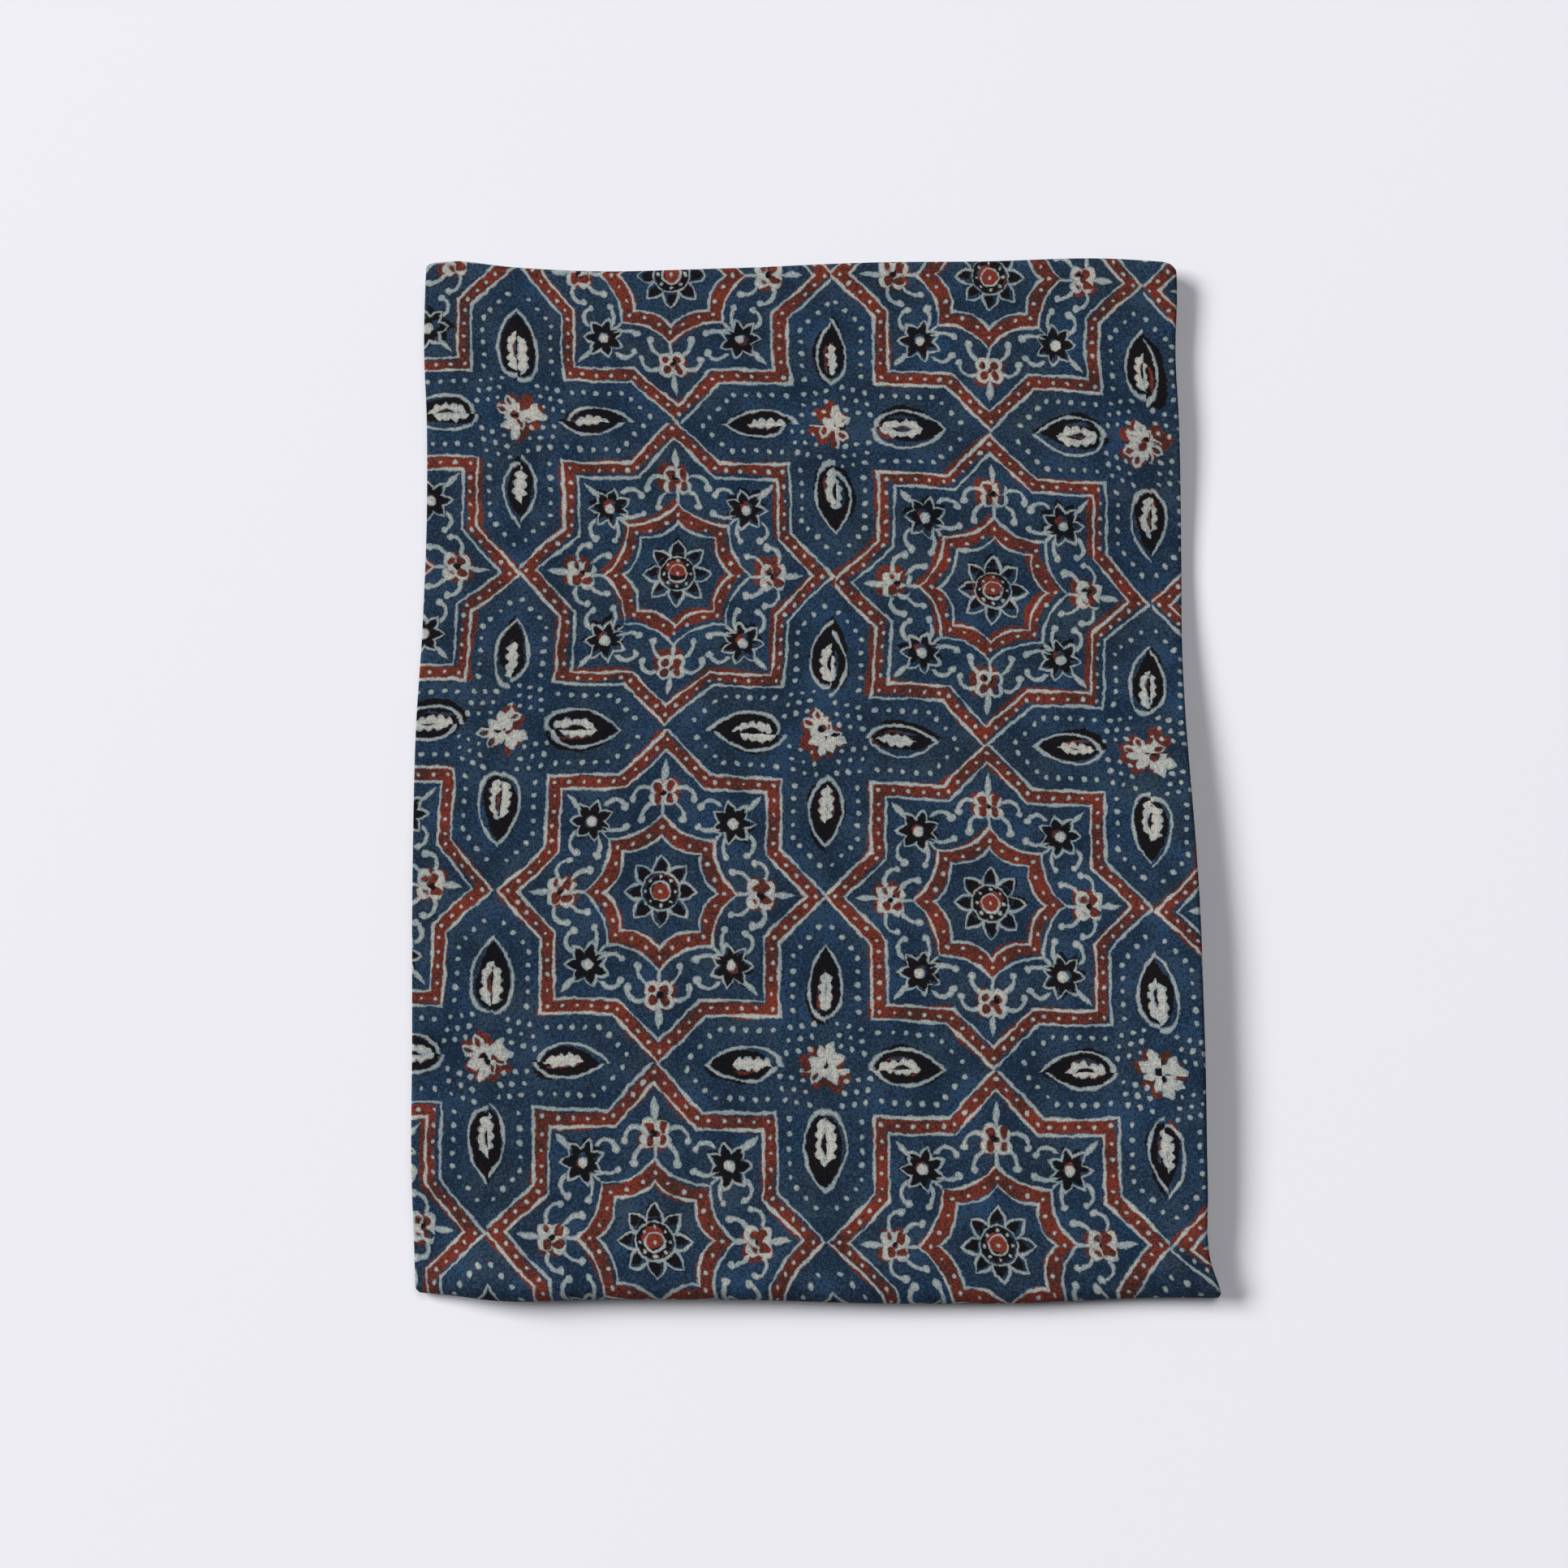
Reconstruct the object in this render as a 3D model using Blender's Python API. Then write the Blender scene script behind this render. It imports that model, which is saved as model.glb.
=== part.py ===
"""A length of hand block printed ajrakh cotton, folded flat.

The cloth is one sheet. It is folded in thirds across its length, and the strip that makes is folded
in thirds again across its width, so nine layers lie on each other. Both times the middle third ends
up on top, so that all four edges seen from above are folds: two tight ones, left and far, and two
wraps that go round the layers inside them, right and near.

The whole sheet is one closed solid. A section of its first fold, drawn in X and height, is carried
along the path of its second fold, drawn in Y and height. Smooth tables then move the edges and the
thickness to where a soft, hand-folded stack has them. +Y is the far side, and Z = 0 is the surface.
"""

import math
from collections import namedtuple

import bpy
import numpy as np

# Driving dimensions, in millimetres
SPAN_X = 275.0          # left edge to right edge, one third of the cut length
SPAN_Y = 373.0          # near edge to far edge, one third of the loom width
LAYERS = 9              # three thirds of three thirds
LAYER_PITCH = 1.35      # height from one layer to the next
CLOTH_THICKNESS = 1.05  # one layer, with the air that a soft cotton holds
METRES = 0.001

# Where the free edges stop inside the stack, from the middle of the fold that hides them
FLAP_TUCK_X = 7.0
UNDER_SHORT_X = 5.0
FLAP_TUCK_Y = 9.0
UNDER_SHORT_Y = 6.0

# Mesh steps along the flat runs, round a tight fold and round a wrap
RUN_STEPS_X, FOLD_STEPS_X, WRAP_STEPS_X = 9, 5, 6
RUN_STEPS_Y, FOLD_STEPS_Y, WRAP_STEPS_Y = 12, 6, 8

# The outline and the height of the stack along its two long sides, far to near
Side = namedtuple("Side", "y left right left_height right_height")
SIDES = (
    Side(187.0, -139.6, 137.0, 8.6, 8.2),
    Side(172.0, -139.7, 136.9, 8.5, 8.1),
    Side(154.0, -139.6, 135.8, 8.4, 8.0),
    Side(123.0, -137.6, 136.2, 8.8, 8.2),
    Side(68.0, -136.6, 135.7, 9.6, 7.2),
    Side(42.0, -137.0, 134.8, 9.8, 8.0),
    Side(17.0, -138.0, 134.8, 10.0, 9.6),
    Side(-41.0, -137.8, 137.0, 10.2, 12.0),
    Side(-98.0, -136.3, 137.4, 10.4, 12.7),
    Side(-150.0, -135.0, 136.9, 11.0, 12.4),
    Side(-174.0, -133.9, 137.6, 10.4, 11.6),
    Side(-187.0, -133.4, 141.6, 9.6, 10.6),
)

# The same along its two short ends, left to right
End = namedtuple("End", "x far near far_height near_height")
ENDS = (
    End(-139.0, 186.4, -184.2, 8.6, 9.6),
    End(-125.0, 187.4, -185.2, 8.9, 10.4),
    End(-112.0, 185.5, -186.8, 9.2, 12.0),
    End(-75.0, 183.5, -186.5, 8.8, 12.8),
    End(-27.0, 184.5, -186.6, 9.2, 12.2),
    End(19.0, 186.4, -187.8, 9.4, 11.0),
    End(69.0, 187.3, -187.8, 9.0, 10.2),
    End(114.0, 188.3, -186.0, 8.8, 9.8),
    End(137.0, 187.0, -186.0, 8.2, 10.4),
)

# Its four corners seen from above, each by its side in X and in Y, and how round it is
Corner = namedtuple("Corner", "side_x side_y radius")
CORNERS = (
    Corner(-1, 1, 2.6),
    Corner(1, 1, 5.0),
    Corner(-1, -1, 1.8),
    Corner(1, -1, 1.6),
)

# The middle of the stack lies lower than its springy edges
MIDDLE_HEIGHT = 9.2
EDGE_REACH = 26.0       # how far an edge's own height is felt towards the middle
SWELL_HEIGHT = 0.35     # slow unevenness of the top
SWELL_LENGTH_X = 190.0
SWELL_LENGTH_Y = 240.0
SWELL_PHASE = 1.0       # where its wave starts in X, in radians

# Each third slips a little over the one below it, in a slow wave that shifts from top to bottom
SLIP = 0.7
SLIP_LENGTH = 310.0
SLIP_SHIFT = 60.0

# Indigo ground of the print, a dry cotton
INDIGO = (0.024, 0.041, 0.071, 1.0)
COTTON_ROUGHNESS = 0.88


def clear_objects():
    """Remove every object of the start scene."""
    for thing in list(bpy.data.objects):
        bpy.data.objects.remove(thing, do_unlink=True)


def smooth_through(places, known_places, known_values):
    """Cubic curve through known values: Hermite pieces with the table's own slopes at its rows."""
    order = np.argsort(known_places)
    xs = np.asarray(known_places, float)[order]
    ys = np.asarray(known_values, float)[order]
    slopes = np.gradient(ys, xs)
    at = np.clip(places, xs[0], xs[-1])
    row = np.clip(np.searchsorted(xs, at) - 1, 0, len(xs) - 2)
    width = xs[row + 1] - xs[row]
    t = (at - xs[row]) / width
    start = ys[row] * (1 + 2 * t) * (1 - t) ** 2 + slopes[row] * width * t * (1 - t) ** 2
    end = ys[row + 1] * t**2 * (3 - 2 * t) - slopes[row + 1] * width * t**2 * (1 - t)
    return start + end


def column(table, name):
    """One named column of a table."""
    return [getattr(row, name) for row in table]


def arc(centre, radius, first_angle, turn, steps):
    """Points on an arc, without its two ends, as rows of (along, height)."""
    angles = first_angle + turn * np.arange(1, steps) / steps
    return np.stack([centre[0] + radius * np.cos(angles), centre[1] + radius * np.sin(angles)], axis=1)


def letter_fold(span, spacing, half_thickness, tuck, short, run_steps, fold_steps, wrap_steps):
    """Centre line of three layers folded like a letter, as rows of (along, height).

    The inner flap lies at height 0 and runs to the tight fold at the low end, the top layer comes
    back one spacing above it, the wrap turns round the flap's free edge at the high end, and the
    under layer runs back one spacing below.
    """
    fold_end = -span / 2 + spacing / 2 + half_thickness
    wrap_end = span / 2 - spacing - half_thickness
    inner = np.linspace(fold_end + short, wrap_end - tuck, run_steps + 1)
    flap = np.append(inner[::-1], fold_end)
    top = np.concatenate([[fold_end], inner, [wrap_end]])
    under = np.append(wrap_end, inner[::-1])
    rows = [
        np.stack([flap, np.zeros_like(flap)], axis=1),
        arc((fold_end, spacing / 2), spacing / 2, -math.pi / 2, -math.pi, fold_steps),
        np.stack([top, np.full_like(top, spacing)], axis=1),
        arc((wrap_end, 0.0), spacing, math.pi / 2, -math.pi, wrap_steps),
        np.stack([under, np.full_like(under, -spacing)], axis=1),
    ]
    return np.concatenate(rows)


def normals(line):
    """Unit normals of a polyline, its direction turned a quarter to the left, as rows."""
    ahead = np.diff(line, axis=0)
    ahead /= np.linalg.norm(ahead, axis=1)[:, None]
    mean = np.concatenate([ahead[:1], ahead[:-1] + ahead[1:], ahead[-1:]])
    mean /= np.linalg.norm(mean, axis=1)[:, None]
    return np.stack([-mean[:, 1], mean[:, 0]], axis=1)


def folded_points():
    """Grid of points (section point, side of the cloth, path point, xyz) of the even stack."""
    section = letter_fold(
        SPAN_X, LAYER_PITCH, CLOTH_THICKNESS / 2,
        FLAP_TUCK_X, UNDER_SHORT_X, RUN_STEPS_X, FOLD_STEPS_X, WRAP_STEPS_X,
    )
    across = normals(section)
    sides = [section + across * side * CLOTH_THICKNESS / 2 for side in (-1.0, 1.0)]
    profile = np.stack(sides, axis=1)

    strip_half = LAYER_PITCH + CLOTH_THICKNESS / 2
    path = letter_fold(
        SPAN_Y, 3 * LAYER_PITCH, strip_half,
        FLAP_TUCK_Y, UNDER_SHORT_Y, RUN_STEPS_Y, FOLD_STEPS_Y, WRAP_STEPS_Y,
    )
    outward = normals(path)
    middle = 3 * LAYER_PITCH + strip_half

    x = np.repeat(profile[:, :, None, 0], len(path), axis=2)
    lift = profile[:, :, None, 1]
    y = -(path[:, 0] + outward[:, 0] * lift)
    z = middle + path[:, 1] + outward[:, 1] * lift
    return np.stack([x, y, z], axis=3)


def round_corners(x, y):
    """Corners of the plan as quarter circles: the square to disc map inside each corner's square."""
    round_x, round_y = x.copy(), y.copy()
    for corner in CORNERS:
        here = (x * corner.side_x >= 0) & (y * corner.side_y >= 0)
        a = np.clip((abs(x) - SPAN_X / 2) / corner.radius + 1, 0, 1)
        b = np.clip((abs(y) - SPAN_Y / 2) / corner.radius + 1, 0, 1)
        round_x -= here * corner.side_x * corner.radius * a * (1 - np.sqrt(1 - b**2 / 2))
        round_y -= here * corner.side_y * corner.radius * b * (1 - np.sqrt(1 - a**2 / 2))
    return round_x, round_y


def stack_height(x, y):
    """Height of the stack over a place: the middle's, drawn to each edge's own near that edge."""
    height = np.full_like(x, MIDDLE_HEIGHT)
    wave_x = np.sin(2 * math.pi * x / SWELL_LENGTH_X + SWELL_PHASE)
    height += SWELL_HEIGHT * wave_x * np.sin(2 * math.pi * y / SWELL_LENGTH_Y)
    edges = (
        (SPAN_X / 2 + x, smooth_through(y, column(SIDES, "y"), column(SIDES, "left_height"))),
        (SPAN_X / 2 - x, smooth_through(y, column(SIDES, "y"), column(SIDES, "right_height"))),
        (SPAN_Y / 2 + y, smooth_through(x, column(ENDS, "x"), column(ENDS, "near_height"))),
        (SPAN_Y / 2 - y, smooth_through(x, column(ENDS, "x"), column(ENDS, "far_height"))),
    )
    for distance, edge_height in edges:
        height += (edge_height - height) * np.exp(-((np.maximum(distance, 0) / EDGE_REACH) ** 2))
    return height


def settle(points):
    """Move the even stack's points to the uneven outline and height of the hand-folded one."""
    x, y, z = points[..., 0], points[..., 1], points[..., 2]
    even_height = (LAYERS - 1) * LAYER_PITCH + CLOTH_THICKNESS
    x, y = round_corners(x, y)
    left = smooth_through(y, column(SIDES, "y"), column(SIDES, "left"))
    right = smooth_through(y, column(SIDES, "y"), column(SIDES, "right"))
    far = smooth_through(x, column(ENDS, "x"), column(ENDS, "far"))
    near = smooth_through(x, column(ENDS, "x"), column(ENDS, "near"))
    low = 1 - z / even_height
    slip = -SLIP * low * (1 + np.sin(2 * math.pi * (y + SLIP_SHIFT * low) / SLIP_LENGTH)) / 2
    settled_x = left + (right - left) * (x / SPAN_X + 0.5) * (1 + slip / SPAN_X) - slip / 2
    settled_y = near + (far - near) * (y / SPAN_Y + 0.5)
    settled_z = z / even_height * stack_height(x, y)
    return np.stack([settled_x, settled_y, settled_z], axis=-1)


def centre_on_origin(points):
    """Put the middle of the plan on the origin."""
    low = points.reshape(-1, 3).min(axis=0)
    high = points.reshape(-1, 3).max(axis=0)
    middle = (low + high) / 2
    return points - np.array([middle[0], middle[1], low[2]])


def grid_faces(section_count, path_count):
    """Quads of the closed sheet: its two sides, its four edges, all facing out."""
    index = np.arange(section_count * 2 * path_count).reshape(section_count, 2, path_count)
    inner, outer = index[:, 0], index[:, 1]

    def quads(a, b, c, d):
        return np.stack([a.ravel(), b.ravel(), c.ravel(), d.ravel()], axis=1)

    faces = [
        quads(outer[:-1, :-1], outer[:-1, 1:], outer[1:, 1:], outer[1:, :-1]),
        quads(inner[:-1, :-1], inner[1:, :-1], inner[1:, 1:], inner[:-1, 1:]),
        quads(inner[0, :-1], inner[0, 1:], outer[0, 1:], outer[0, :-1]),
        quads(outer[-1, :-1], outer[-1, 1:], inner[-1, 1:], inner[-1, :-1]),
        quads(outer[:-1, 0], outer[1:, 0], inner[1:, 0], inner[:-1, 0]),
        quads(inner[:-1, -1], inner[1:, -1], outer[1:, -1], outer[:-1, -1]),
    ]
    return np.concatenate(faces)


def printed_cotton():
    """Material of the cloth: the indigo of its ground, matt."""
    material = bpy.data.materials.new("printed_cotton")
    material.use_nodes = True
    shader = material.node_tree.nodes["Principled BSDF"]
    shader.inputs["Base Color"].default_value = INDIGO
    shader.inputs["Roughness"].default_value = COTTON_ROUGHNESS
    shader.inputs["Metallic"].default_value = 0.0
    return material


def make_cloth():
    """The folded cloth, one closed sheet."""
    points = centre_on_origin(settle(folded_points()))
    faces = grid_faces(points.shape[0], points.shape[2])
    metres = np.round(points.reshape(-1, 3) * METRES, 7)
    mesh = bpy.data.meshes.new("ajrakh_cloth")
    mesh.from_pydata(metres.tolist(), [], faces.tolist())
    mesh.update()
    mesh.shade_smooth()
    mesh.materials.append(printed_cotton())
    cloth = bpy.data.objects.new("ajrakh_cloth", mesh)
    bpy.context.scene.collection.objects.link(cloth)
    return cloth


clear_objects()
make_cloth()
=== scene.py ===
# %% [markdown]
# # A folded length of ajrakh, dressed for a photograph
#
# Ajrakh is cotton printed by hand with wooden blocks: a paste keeps the pale lines clear of dye, iron
# makes the black, madder the red, and a bath of indigo colours everything that is left. This lesson
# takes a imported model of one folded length, lays a finer cloth on the same folds, and works the print
# out as shader maths on the cloth's own flat coordinates, so that it runs on round every fold.

# %% Load the frame
import math
from collections import namedtuple

import bpy
import numpy as np
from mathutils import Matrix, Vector


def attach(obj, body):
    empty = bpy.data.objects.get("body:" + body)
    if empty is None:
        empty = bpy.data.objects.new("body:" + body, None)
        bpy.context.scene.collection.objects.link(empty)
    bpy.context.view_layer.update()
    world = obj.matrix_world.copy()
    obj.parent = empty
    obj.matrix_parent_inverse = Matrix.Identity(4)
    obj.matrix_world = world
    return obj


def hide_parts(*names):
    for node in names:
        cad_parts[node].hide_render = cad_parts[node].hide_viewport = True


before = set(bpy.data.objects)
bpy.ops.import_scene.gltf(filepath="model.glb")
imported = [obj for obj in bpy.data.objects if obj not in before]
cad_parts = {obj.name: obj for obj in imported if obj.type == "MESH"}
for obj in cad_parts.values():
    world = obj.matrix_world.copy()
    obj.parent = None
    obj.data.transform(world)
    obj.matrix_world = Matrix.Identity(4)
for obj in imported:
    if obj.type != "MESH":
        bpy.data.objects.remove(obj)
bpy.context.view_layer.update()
NODE = "ajrakh_cloth"
MM = 0.001

# %% [markdown]
# ## The camera
#
# The cloth lies flat and is photographed from almost straight above: the camera stands a little on the
# near side, and its near end looks a little larger than its far end. A 50 mm lens and a distance of
# 766 mm to the cloth's top give the framing.

# %% Camera
LENS, SENSOR = 50.0, 36.0       # mm
TILT = math.radians(9.9)        # away from straight down
REACH = 766.0                   # lens to the cloth's top, mm
AIM = (-8.30, -9.62, 11.0)      # what the middle of the picture shows, mm
NEAREST_SEEN = 0.05             # m


def look_down(aim, tilt, reach):
    """Camera on a line that leaves the aim upwards, turned from the vertical by the tilt to -Y."""
    camera = bpy.data.objects.new("camera", bpy.data.cameras.new("camera"))
    camera.data.lens = LENS
    camera.data.sensor_width = SENSOR
    camera.data.clip_start = NEAREST_SEEN
    back = np.array([0.0, -math.sin(tilt), math.cos(tilt)])
    camera.location = (np.array(aim) + reach * back) * MM
    camera.rotation_euler = (tilt, 0.0, 0.0)
    bpy.context.scene.collection.objects.link(camera)
    bpy.context.scene.camera = camera
    return camera


camera = look_down(AIM, TILT, REACH)
print("camera at", tuple(round(v, 4) for v in camera.location))

# %% [markdown]
# ## Floor and light
#
# A window on the left throws the stack's short shadow to the right and a softer one towards the
# viewer. How sharp a shadow's edge is depends on how wide the light looks from there, so the window is
# a rectangle with the width and height that the two shadows' edges ask for. A weaker light from above
# fills the shadow, and a dim world stands for the rest of the room. Where the camera looks past the
# floor, as from low down, the world is as pale as the floor. Both lights hang 20 m away, so that they
# light the floor evenly. The floor is a plain pale sheet.

# %% Floor and light
FLOOR_HALF = 6.0          # m
FLOOR_COLOUR = (0.80, 0.80, 0.845, 1.0)
WORLD_COLOUR = (0.97, 0.98, 1.0, 1.0)
WORLD_STRENGTH, BACKDROP_STRENGTH = 0.09, 0.86   # as a light, and where the camera sees it
LIGHT_DISTANCE = 20.0     # m

# The direction towards it, its size in metres, and W per square metre at the cloth
Light = namedtuple("Light", "name x y z wide high strength")
LIGHTS = (
    Light("window", -1.45, 0.50, 1.0, 12.0, 6.2, 4.2),
    Light("fill", 0.10, 0.45, 1.0, 10.0, 10.0, 1.05),
)


def plain_material(name, colour):
    """One Principled shader with a plain colour and no gloss, so that it looks alike from low down too."""
    material = bpy.data.materials.new(name)
    material.use_nodes = True
    shader = material.node_tree.nodes["Principled BSDF"]
    shader.inputs["Base Color"].default_value = colour
    shader.inputs["Roughness"].default_value = 1.0
    shader.inputs["Specular IOR Level"].default_value = 0.0
    return material


def lay_floor():
    """A square of floor at height 0."""
    mesh = bpy.data.meshes.new("floor")
    h = FLOOR_HALF
    mesh.from_pydata([(-h, -h, 0), (h, -h, 0), (h, h, 0), (-h, h, 0)], [], [(0, 1, 2, 3)])
    mesh.materials.append(plain_material("pale_floor", FLOOR_COLOUR))
    floor = bpy.data.objects.new("floor", mesh)
    bpy.context.scene.collection.objects.link(floor)
    return floor


def hang_light(light):
    """A rectangle that faces the origin; its power is pi times distance squared times the strength here."""
    lamp = bpy.data.lights.new(light.name, "AREA")
    lamp.shape = "RECTANGLE"
    lamp.size, lamp.size_y = light.wide, light.high
    lamp.energy = math.pi * LIGHT_DISTANCE**2 * light.strength
    hung = bpy.data.objects.new(light.name, lamp)
    hung.location = Vector((light.x, light.y, light.z)).normalized() * LIGHT_DISTANCE
    hung.rotation_euler = (-hung.location).to_track_quat("-Z", "Y").to_euler()
    bpy.context.scene.collection.objects.link(hung)
    return hung


def fill_world():
    """An even, slightly cool world: dim as a light, and as pale as the floor where it is looked at."""
    world = bpy.data.worlds.new("pale")
    world.use_nodes = True
    tree = world.node_tree
    sky = tree.nodes["Background"]
    sky.inputs["Color"].default_value = WORLD_COLOUR
    rays = tree.nodes.new("ShaderNodeLightPath")
    strength = tree.nodes.new("ShaderNodeMath")
    strength.operation = "MULTIPLY_ADD"
    strength.inputs[1].default_value = BACKDROP_STRENGTH - WORLD_STRENGTH
    strength.inputs[2].default_value = WORLD_STRENGTH
    tree.links.new(rays.outputs["Is Camera Ray"], strength.inputs[0])
    tree.links.new(strength.outputs[0], sky.inputs["Strength"])
    bpy.context.scene.world = world


lay_floor()
for light in LIGHTS:
    hang_light(light)
fill_world()
bpy.context.scene.view_settings.view_transform = "Standard"
print("lights", [light.name for light in LIGHTS], "world", WORLD_STRENGTH)

# %% [markdown]
# ## The stack's outline
#
# A hand-folded stack is never square. Three short tables hold where its edges lie, how high they
# stand and how round its corners are, in millimetres. They follow the solid underneath, and at the far
# right and the near left the thinner cloth lets the stack lie lower. A smooth curve runs through each
# column.

# %% Outline tables
SPAN_X, SPAN_Y = 275.0, 373.0
STACK_HEIGHT = 11.85      # of the even stack, before the tables shape it

Side = namedtuple("Side", "y left right left_height right_height")
SIDES = (
    Side(187.0, -139.6, 137.0, 8.6, 7.6),
    Side(172.0, -139.7, 136.9, 8.5, 7.4),
    Side(154.0, -139.6, 135.8, 8.4, 7.2),
    Side(123.0, -137.6, 136.2, 8.8, 7.4),
    Side(68.0, -136.6, 135.7, 9.6, 5.2),
    Side(42.0, -137.0, 134.8, 9.8, 7.2),
    Side(17.0, -138.0, 134.8, 10.0, 9.6),
    Side(-41.0, -137.8, 137.0, 10.2, 12.0),
    Side(-98.0, -136.3, 137.4, 10.4, 12.7),
    Side(-150.0, -135.0, 136.9, 10.4, 12.4),
    Side(-174.0, -133.9, 137.2, 8.6, 11.6),
    Side(-187.0, -133.4, 141.6, 6.0, 10.6),
)
End = namedtuple("End", "x far near far_height near_height")
ENDS = (
    End(-139.0, 186.4, -184.2, 8.6, 6.0),
    End(-125.0, 187.4, -185.2, 8.9, 8.4),
    End(-112.0, 185.5, -186.8, 9.2, 12.0),
    End(-75.0, 183.5, -186.5, 8.8, 12.8),
    End(-27.0, 184.5, -186.6, 9.2, 12.2),
    End(19.0, 186.4, -187.8, 9.4, 11.0),
    End(69.0, 187.3, -187.8, 9.0, 10.2),
    End(114.0, 188.3, -186.0, 8.8, 9.8),
    End(137.0, 187.0, -186.0, 8.2, 10.4),
)
Corner = namedtuple("Corner", "side_x side_y radius")
CORNERS = (
    Corner(-1, 1, 2.6),
    Corner(1, 1, 5.0),
    Corner(-1, -1, 1.8),
    Corner(1, -1, 1.6),
)
MIDDLE_HEIGHT = 9.2       # the middle lies lower than the springy edges
EDGE_REACH = 26.0         # how far an edge's own height is felt towards the middle
SWELL_HEIGHT, SWELL_LENGTH_X, SWELL_LENGTH_Y, SWELL_PHASE = 0.35, 190.0, 240.0, 1.0
SLIP, SLIP_LENGTH, SLIP_SHIFT = 0.7, 310.0, 60.0   # how far the layers slip over each other


def smooth_through(places, known_places, known_values):
    """Cubic curve through known values: Hermite pieces, with straight runs on past both ends."""
    order = np.argsort(known_places)
    xs = np.asarray(known_places, float)[order]
    ys = np.asarray(known_values, float)[order]
    slopes = np.gradient(ys, xs)
    at = np.clip(places, xs[0], xs[-1])
    row = np.clip(np.searchsorted(xs, at) - 1, 0, len(xs) - 2)
    width = xs[row + 1] - xs[row]
    t = (at - xs[row]) / width
    start = ys[row] * (1 + 2 * t) * (1 - t) ** 2 + slopes[row] * width * t * (1 - t) ** 2
    end = ys[row + 1] * t**2 * (3 - 2 * t) - slopes[row + 1] * width * t**2 * (1 - t)
    past = places - at
    return start + end + past * np.where(past < 0, slopes[0], slopes[-1])


def column(table, name):
    """One named column of a table."""
    return [getattr(row, name) for row in table]


def table_curve(table, key, name, places):
    """Smooth curve of one column over the table's key column, held level past its ends."""
    keys = column(table, key)
    return smooth_through(np.clip(places, min(keys), max(keys)), keys, column(table, name))


# %% [markdown]
# ## Folding
#
# The cloth is folded like a letter twice. One fold is a line drawn in two dimensions: an inner flap,
# a tight turn, the top, a wide turn round the flap's free edge, and the layer underneath. The first
# fold's line gives each thread's place across the stack, and the second carries it along the stack.
# Keeping the length run along each line gives every point its place on the flat cloth as well.

# %% Letter fold
LAYERS = 9                # three thirds of three thirds
CLOTH_THICKNESS = 0.5
LAYER_PITCH = (STACK_HEIGHT - CLOTH_THICKNESS) / (LAYERS - 1)
FLAP_TUCK_X, UNDER_SHORT_X = 7.0, 5.0     # where the free edges stop, from the fold that hides them
FLAP_TUCK_Y, UNDER_SHORT_Y = 9.0, 6.0
NEAR_FOLD_STEPS, NEAR_WRAP_STEPS = 3, 4   # mesh steps between a free edge and that fold


def letter_fold(span, spacing, half_thickness, tuck, short, run_steps, fold_steps, wrap_steps):
    """Centre line of a letter fold as rows of (along, height), and each point's length from the top's middle.

    The flap lies at height 0, the top one spacing above it and the under layer one spacing below;
    half circles of half a spacing and of one spacing join them.
    """
    fold_end = -span / 2 + spacing / 2 + half_thickness
    wrap_end = span / 2 - spacing - half_thickness
    inner = np.linspace(fold_end + short, wrap_end - tuck, run_steps + 1)
    near_fold = np.linspace(fold_end, fold_end + short, NEAR_FOLD_STEPS + 1)[:-1]
    near_wrap = np.linspace(wrap_end - tuck, wrap_end, NEAR_WRAP_STEPS + 1)[1:]
    flap = np.concatenate([inner[::-1], near_fold[::-1]])
    top = np.concatenate([near_fold, inner, near_wrap])
    under = np.concatenate([near_wrap[::-1], inner[::-1]])

    def turn(centre, radius, first_angle, steps):
        """A half circle without its two ends: cosine and sine of even steps of angle."""
        angles = first_angle - math.pi * np.arange(1, steps) / steps
        return np.stack([centre[0] + radius * np.cos(angles), centre[1] + radius * np.sin(angles)], axis=1)

    rows = np.concatenate([
        np.stack([flap, np.zeros_like(flap)], axis=1),
        turn((fold_end, spacing / 2), spacing / 2, -math.pi / 2, fold_steps),
        np.stack([top, np.full_like(top, spacing)], axis=1),
        turn((wrap_end, 0.0), spacing, math.pi / 2, wrap_steps),
        np.stack([under, np.full_like(under, -spacing)], axis=1),
    ])
    run = np.concatenate([[0.0], np.cumsum(np.linalg.norm(np.diff(rows, axis=0), axis=1))])
    first_top = len(flap) + fold_steps - 1
    middle = run[first_top] - fold_end
    return rows, run - middle


def normals(line):
    """Unit normals of a polyline, its direction turned a quarter to the left, as rows."""
    ahead = np.diff(line, axis=0)
    ahead /= np.linalg.norm(ahead, axis=1)[:, None]
    mean = np.concatenate([ahead[:1], ahead[:-1] + ahead[1:], ahead[-1:]])
    mean /= np.linalg.norm(mean, axis=1)[:, None]
    return np.stack([-mean[:, 1], mean[:, 0]], axis=1)


RUN_STEPS_X, FOLD_STEPS_X, WRAP_STEPS_X = 46, 8, 10
RUN_STEPS_Y, FOLD_STEPS_Y, WRAP_STEPS_Y = 58, 12, 16
section, section_run = letter_fold(
    SPAN_X, LAYER_PITCH, CLOTH_THICKNESS / 2,
    FLAP_TUCK_X, UNDER_SHORT_X, RUN_STEPS_X, FOLD_STEPS_X, WRAP_STEPS_X,
)
STRIP_HALF = LAYER_PITCH + CLOTH_THICKNESS / 2
path, path_run = letter_fold(
    SPAN_Y, 3 * LAYER_PITCH, STRIP_HALF,
    FLAP_TUCK_Y, UNDER_SHORT_Y, RUN_STEPS_Y, FOLD_STEPS_Y, WRAP_STEPS_Y,
)
CUT_LENGTH = section_run[-1] - section_run[0]
LOOM_WIDTH = path_run[-1] - path_run[0]
print(len(section), "by", len(path), "points; flat size", round(CUT_LENGTH), "by", round(LOOM_WIDTH), "mm")
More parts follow.
